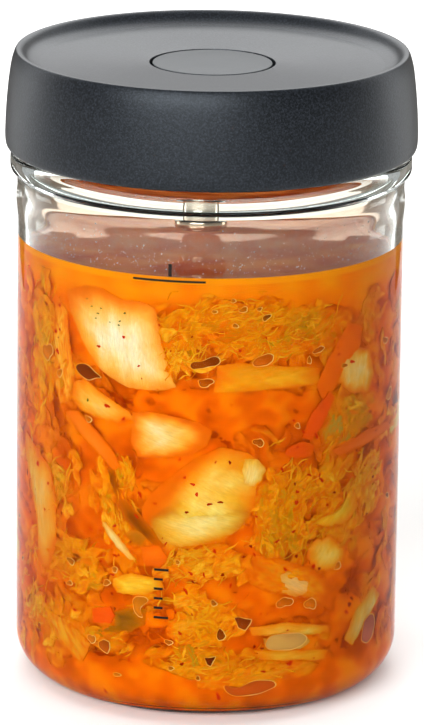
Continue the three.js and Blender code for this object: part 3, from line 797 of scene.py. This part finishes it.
# The same kinds of piece all the way round the rest of the jar
dice = random.Random(5)
SHAPE = [(0, 1), (0.5, 0.85), (0.9, 0.5), (1, 0), (0.8, -0.6), (0.3, -0.95), (-0.3, -0.9), (-0.85, -0.6),
         (-1, 0.05), (-0.7, 0.7)]
LEAF_TONES = [("#f0b434", "#dc8e18"), ("#e6c648", "#c89c20"), ("#dca024", "#b87c14")]
RIB_TONES = [("#fbe4b0", "#f4c45c"), ("#f4d06c", "#e8a838"), ("#e8d090", "#d4b058")]
for number in range(46):
    u0, v0 = dice.uniform(76, 247), dice.uniform(14, 112)
    long, wide = dice.uniform(7, 17), dice.uniform(3.5, 8)
    turn = dice.uniform(0, math.pi)
    kind = dice.choice(["leaf", "rib", "rib", "leaf", "carrot"])
    if kind == "carrot":
        long, wide = dice.uniform(6, 11), dice.uniform(1.2, 2.2)
    outline = []
    for x, y in SHAPE:
        x, y = x * long * dice.uniform(0.8, 1.1), y * wide * dice.uniform(0.75, 1.15)
        outline.append((u0 + x * math.cos(turn) - y * math.sin(turn),
                        min(LEVEL - 5, max(8, v0 + x * math.sin(turn) + y * math.cos(turn)))))
    first, second = {"leaf": dice.choice(LEAF_TONES), "rib": dice.choice(RIB_TONES),
                     "carrot": ("#f2600e", "#e04c06")}[kind]
    cut_piece(heaps[kind], outline, dice.uniform(0, 0.3), dice.uniform(0.4, 1.3), first, second,
              math.degrees(turn), 0.2 if kind == "carrot" else 0.35, 500 + 5 * number)

# Shreds of leaf: a deeper layer everywhere, then a layer nearer the glass. Each has its heap, how many, their
# highest place, the field that thins them out with its lump size and least value, the ranges of length, width
# and depth, the first seed, and the rows of points in a shred.
PALETTE = [("#ffa80c", "#e87c00"), ("#fca408", "#d46c00"), ("#ffb81c", "#f48a00"), ("#f09e08", "#bc6000"),
           ("#ffca38", "#f69c08"), ("#e0a00c", "#a86600"), ("#ff9004", "#ee6800")]
deep_shreds, near_shreds, tangled_shreds, fine_strands = Heap(), Heap(), Heap(), Heap()
for heap, count, highest, field, size, least, lengths, widths, depths, seed, rows in (
        (deep_shreds, 620, 117, 21, 11, -0.45, (8, 22), (2.2, 6), (0.8, 1.6), 1000, 14),
        (near_shreds, 560, 118, 22, 9, 0.0, (7, 18), (1.6, 4.6), (0.3, 0.9), 3000, 16)):
    for number in range(count):
        first, second = dice.choice(PALETTE)
        u0, v0 = dice.uniform(-HALF_ROUND, HALF_ROUND), dice.uniform(9, highest)
        if ripple(np.array(u0), np.array(v0), field, size) >= least:
            ribbon(heap, u0, v0, dice.uniform(*lengths), dice.uniform(*widths), dice.uniform(0, math.pi),
                   dice.uniform(*depths), first, second, seed + number, rows=rows)

# Tangles on the side of the fill mark: middle, half width, half height, heading, how many, colours
TANGLES = [(6, 117, 20, 5.5, 0.3, 60, 1), (28, 114, 12, 5, 0.2, 26, 5), (-55, 105, 5, 18, 1.6, 34, 2),
    (-52, 62, 10, 9, 1.2, 34, 4), (-40, 42, 14, 7, 0.5, 44, 0), (30, 66, 12, 9, 0.9, 40, 1),
    (44, 84, 7, 6, 0.8, 24, 5), (20, 56, 6, 14, 1.5, 34, 5), (-6, 30, 14, 7, 0.4, 44, 2),
    (8, 16, 20, 4, 0.2, 44, 0), (-30, 22, 14, 5, 0.3, 24, 6), (38, 52, 10, 8, 0.7, 30, 2),
    (-24, 62, 6, 12, 1.7, 30, 2), (-2, 46, 12, 5, 0.3, 30, 4), (-58, 24, 8, 8, 0.9, 24, 4),
    (52, 62, 8, 8, 0.9, 24, 4), (-8, 108, 6, 8, 1.2, 22, 4), (12, 109, 14, 3, 0.1, 22, 6)]
for group, (u0, v0, wide, high, heading, count, shade) in enumerate(TANGLES):
    for number in range(count):
        first, second = PALETTE[shade] if dice.random() < 0.6 else dice.choice(PALETTE)
        ribbon(tangled_shreds, u0 + dice.gauss(0, 0.5) * wide, v0 + dice.gauss(0, 0.5) * high,
               dice.uniform(5, 13), dice.uniform(1.5, 4.8), heading + dice.gauss(0, 0.5),
               dice.uniform(0.1, 0.6), first, second, 6000 + 100 * group + number, curl=0.5)
    for number in range(count):
        ribbon(fine_strands, u0 + dice.gauss(0, 0.6) * wide, v0 + dice.gauss(0, 0.6) * high,
               dice.uniform(3, 9), dice.uniform(0.2, 0.45), heading + dice.gauss(0, 0.6),
               dice.uniform(0.0, 0.5), "#ffc430", "#f09c10", 9000 + 100 * group + number, 0.2, 0.35,
               rows=11, columns=3, thick=0.2)

# Chilli flakes: some placed, the rest scattered
flakes = Heap()


def flake(u0, v0, size, turn, shade, seed):
    """One flat flake with an uneven edge: shade 0 red, 1 dark red, 2 green."""
    a = np.linspace(0, 2 * math.pi, 9, endpoint=False)
    rough = 1 + 0.3 * np.sin(2 * a + seed) + 0.2 * np.sin(3 * a + 2 * seed)
    ring = np.array([[0.5], [1.0]])
    x, y = ring * np.cos(a) * rough * size * 0.62, ring * np.sin(a) * rough * size * 0.36
    across, up = turned_to(x, y, turn)
    first, second = [("#c81c04", "#e03c08"), ("#8a1804", "#b02c06"), ("#3c4a10", "#5c6418")][shade]
    ring = ring + 0 * a
    flakes.disc(u0 + across, v0 + up, 0.012 + 0.05 * ring, mixed(first, second, ring), x, y, 0.25)


for number, values in enumerate(FLAKES):
    flake(*values, number)
for number in range(260):
    flake(dice.uniform(-HALF_ROUND, HALF_ROUND), dice.uniform(9, 118), dice.uniform(0.3, 1.1),
          dice.uniform(0, 180), dice.choice([0, 0, 1]), number * 1.3)

# Gas pockets pressed against the glass
pockets = Heap()


def pocket(edge_u, edge_v, dark, bright="#ee7c10"):
    """A pocket: pale raised edge lighter on one side, a painted highlight; a thin painted shadow inside it;
    and a floor of painted shade, as dark as given and darker on one side.
    """
    u0, v0 = edge_u.mean(), edge_v.mean()
    a = np.arctan2(edge_v - v0, edge_u - u0)
    line = np.clip(0.3 / np.hypot(edge_u - u0, edge_v - v0), 0.05, 0.3)
    s = np.stack([0.3 + 0 * a, 0.6 + 0 * a, *[1 - step * line for step in (2.2, 1.1, 0.9, 0.3, 0)]])
    u, v = u0 + s * (edge_u - u0), v0 + s * (edge_v - v0)
    floor_shade = mixed(bright, "#6e2404", 0.75 * dark + 0.35 * np.sin(a + 0.4) * s)
    rim_highlight = mixed("#ff9a20", "#ffc868", 0.5 + 0.5 * np.sin(a + 2) + 0 * s)
    shadow = mixed(bright, "#601e04", 0.2 + 0.6 * dark + 0 * s)
    share = np.array([0, 0, 0, 0, 1, 1, 0.6])[:, None, None]
    inner = np.array([0, 0, 0.4, 1, 0, 0, 0])[:, None, None]
    tints = floor_shade * (1 - share) * (1 - inner) + shadow * inner + rim_highlight * share
    pockets.disc(u, v, np.full(u.shape, 0.03), tints, u - u0, v - v0, 0.15)


def pocket_at(u0, v0, wide, high, turn, dark, seed):
    """A pocket of uneven oval shape."""
    a = np.linspace(0, 2 * math.pi, 30, endpoint=False)
    uneven = 1 + sum(share * np.sin(waves * a + phase * seed)
                     for share, waves, phase in ((0.16, 2, 1), (0.12, 3, 1.7), (0.04, 5, 0.6)))
    x, y = turned_to(np.cos(a) * uneven * wide, np.sin(a) * uneven * high, turn)
    pocket(u0 + x, v0 + y, dark)


for number, values in enumerate(POCKETS):
    pocket_at(*values, number)
for outline, dark, bright in SHAPED_POCKETS:
    edge = walk(outline, 44)
    for _ in range(2):
        edge = (np.roll(edge, 1, 0) + 2 * edge + np.roll(edge, -1, 0)) / 4
    pocket(edge[:, 0], edge[:, 1], dark, bright)
for number in range(110):
    u0 = dice.uniform(60, 262)
    size = dice.choice([0.5, 0.7, 0.9, 1.2, 1.8, 2.6])
    pocket_at(u0, dice.uniform(9, 118), size * dice.uniform(1, 1.6), size, dice.uniform(-30, 30),
              dice.choice([0.2, 0.35, 0.5, 0.9]), number + 50)

for heap, name, made in (
        (heaps["leaf"], "cabbage_leaves", leaf_flesh), (heaps["rib"], "cabbage_midribs", rib_flesh),
        (heaps["carrot"], "carrot_sticks", carrot_flesh), (heaps["green"], "spring_onion", onion_flesh),
        (heaps["dark"], "crevice_shade_sheets", gap_shade), (deep_shreds, "cabbage_shreds_deep", leaf_flesh),
        (near_shreds, "cabbage_shreds_near", leaf_flesh),
        (tangled_shreds, "cabbage_shreds_tangled", leaf_flesh),
        (fine_strands, "cabbage_strands_fine", rib_flesh), (flakes, "chilli_flakes", chilli_flesh),
        (pockets, "gas_pockets", gas)):
    heap.build(name, made)

# The brine's surface: still, and drawn up the glass at its edge, where it reaches just into the wall
surface = turned("brine_surface", [(30, LEVEL - 0.85), *[(WALL_R + out, LEVEL + up) for out, up in (
    (0.15, -0.85), (0.15, 1.0), (-0.05, 1.0), (-0.25, 0.55), (-0.7, 0.2), (-1.8, 0))], (20, LEVEL)])
finish_piece(surface, "jar", [brine_top, brine_edge], angle=70)
for face in surface.data.polygons:
    x, y, z = face.center / MM
    face.material_index = 1 if math.hypot(x, y) > WALL_R - 0.2 else 0

# Drops of condensed water on the inside of the glass, most of them in the first 10 mm above the brine
drops = Heap()
ball = np.linspace(0, 2 * math.pi, 8, endpoint=False)
ring = np.array([[0.45], [1.0]])
for number in range(1100):
    u0 = dice.uniform(-HALF_ROUND, HALF_ROUND)
    v0 = LEVEL + 2.2 + min(abs(dice.gauss(3, 4.5)), 14)
    size = dice.choice([0.06, 0.08, 0.1, 0.12, 0.16])
    x, y = ring * np.cos(ball), ring * np.sin(ball)
    drops.disc(u0 + x * size, v0 + y * size * dice.uniform(1.0, 1.3), -0.01 + 0 * x, (1.0, 1.0, 1.0), x, y,
               0.02 + 0.6 * size * np.sqrt(1.02 - ring ** 2) + 0 * ball)
drops.build("condensed_drops", water)

# Marks fired on the outside of the glass: the fill line with its number, and a plain scale low down
ENAMEL_THICK = 0.03


def mark(name, u0, v0, wide, high):
    """A bar of enamel: a grid laid on the glass, curved to it, and given its thickness."""
    clear_selection()
    bpy.ops.mesh.primitive_grid_add(x_subdivisions=max(2, int(wide)), y_subdivisions=1, size=1)
    bpy.ops.object.mode_set(mode="EDIT")
    bpy.ops.transform.resize(value=(wide * MM, high * MM, 1))
    bpy.ops.object.mode_set(mode="OBJECT")
    lay_on_glass(name, u0, v0)


def number_mark(name, number, size, u0, v0):
    """A number of enamel on the glass, drawn bold."""
    clear_selection()
    bpy.ops.object.text_add()
    text = bpy.context.object.data
    text.body, text.size, text.offset = number, size * MM, 0.3 * MM
    text.align_x = text.align_y = "CENTER"
    bpy.ops.object.convert(target="MESH")
    lay_on_glass(name, u0, v0)


def lay_on_glass(name, u0, v0):
    """Curves the flat mesh just drawn in its own XY onto the outside of the jar, thickens and finishes it."""
    piece = bpy.context.object
    piece.name = piece.data.name = name
    for vertex in piece.data.vertices:
        a = (vertex.co.x / MM + u0) / BODY_R
        r = (BODY_R + 0.01) * MM
        vertex.co = (r * math.sin(a), -r * math.cos(a), vertex.co.y + v0 * MM)
    select_only(piece)
    bpy.ops.object.modifier_add(type="SOLIDIFY")
    piece.modifiers[0].thickness = ENAMEL_THICK * MM
    piece.modifiers[0].offset = 1
    bpy.ops.object.modifier_apply(modifier=piece.modifiers[0].name)
    finish_piece(piece, "jar", [enamel])


mark("fill_line", -11.35, LEVEL + 0.45, 20.6, 0.62)
number_mark("fill_number", "1", 4.4, -11.0, LEVEL + 3.3)
for step in range(6):
    wide = 4.2 if step % 5 == 0 else 2.6
    mark(f"scale_line_{step}", -12.6 + (wide - 4.2) / 2, 31.2 + 2.8 * step, wide, 0.7)

# Stage: white floor in pale surroundings, two tall soft lights and two grey cards at the sides behind the
# jar, and soft lights overhead, in front to the left, and high up at the back

paper, tree, shader = material("Paper, white, matt", Roughness=0.9, Specular_IOR_Level=0.1)
mottle(tree, shader, 6.0, 2.0, "#e4e4e3", "#e8e8e7")
clear_selection()
bpy.ops.mesh.primitive_plane_add(size=14)
floor = bpy.context.object
floor.name = "floor"
floor.data.materials.append(paper)

world = bpy.data.worlds.new("Studio")
bpy.context.scene.world = world
world.use_nodes = True
world.node_tree.nodes["Background"].inputs["Color"].default_value = linear("#ffffff")
world.node_tree.nodes["Background"].inputs["Strength"].default_value = 0.4

# Two dark cards, just over the floor and outside the picture, darken the glass at its sides, as in a studio
card_paper, tree, shader = material("Card, dark grey, matt", Roughness=0.9)
mottle(tree, shader, 900.0, 2.0, "#6a645c", "#736d65")
clear_selection()
for name, way in (("card_left", -1), ("card_right", 1)):
    bpy.ops.mesh.primitive_plane_add(size=1)
    card = bpy.context.object
    card.name = name
    for vertex in card.data.vertices:
        x, y = (0.16, 0.15) if vertex.co.x < 0 else (0.095, 0.42)
        vertex.co = (way * x, y, 0.06 if vertex.co.y < 0 else 0.26)
    card.data.materials.append(card_paper)
    card.visible_camera = False

# Soft lights: name, place, what it faces, width, height and power
for name, place, aim, width, height, power in (
        ("left_strip", (-1.05, 0.58, 0.45), (0, 0, 0.09), 0.40, 1.4, 6),
        ("right_strip", (1.05, 0.58, 0.45), (0, 0, 0.09), 0.40, 1.4, 6),
        ("overhead", (0, 1.3, 2.8), (0, 0.4, 0.0), 4.5, 4.5, 120),
        ("key", (-0.7, -2.1, 0.95), (0, 0, 0.08), 2.4, 0.8, 88),
        ("back_high", (0, 2.0, 1.3), (0, 0, 0.18), 3.0, 1.2, 38)):
    lamp = bpy.data.lights.new(name, "AREA")
    lamp.shape, lamp.size, lamp.size_y, lamp.energy = "RECTANGLE", width, height, power
    holder = bpy.data.objects.new(name, lamp)
    holder.visible_camera = False
    bpy.context.scene.collection.objects.link(holder)
    facing = (Vector(aim) - Vector(place)).to_track_quat("-Z", "Y")
    holder.matrix_world = Matrix.Translation(place) @ facing.to_matrix().to_4x4()

# Camera: fitted to the outlines of the jar in the photograph

TILT = math.radians(15.44)
ROLL = math.radians(0.73)
RANGE = 1.5
target = Vector((0.93, 0, 90.68)) * MM
forward = Vector((0, math.cos(TILT), -math.sin(TILT)))
lift = Vector((0, math.sin(TILT), math.cos(TILT)))
side = Vector((1, 0, 0))
right = side * math.cos(ROLL) + lift * math.sin(ROLL)
upward = lift * math.cos(ROLL) - side * math.sin(ROLL)
lens = bpy.data.cameras.new("camera")
lens.sensor_width = 36
lens.lens = 259.7
lens.clip_start = 0.05
lens.clip_end = 50
camera = bpy.data.objects.new("camera", lens)
bpy.context.scene.collection.objects.link(camera)
turned_camera = Matrix((right, upward, -forward)).transposed().to_4x4()
camera.matrix_world = Matrix.Translation(target - forward * RANGE) @ turned_camera
bpy.context.scene.camera = camera
bpy.context.scene.view_settings.view_transform = "Standard"
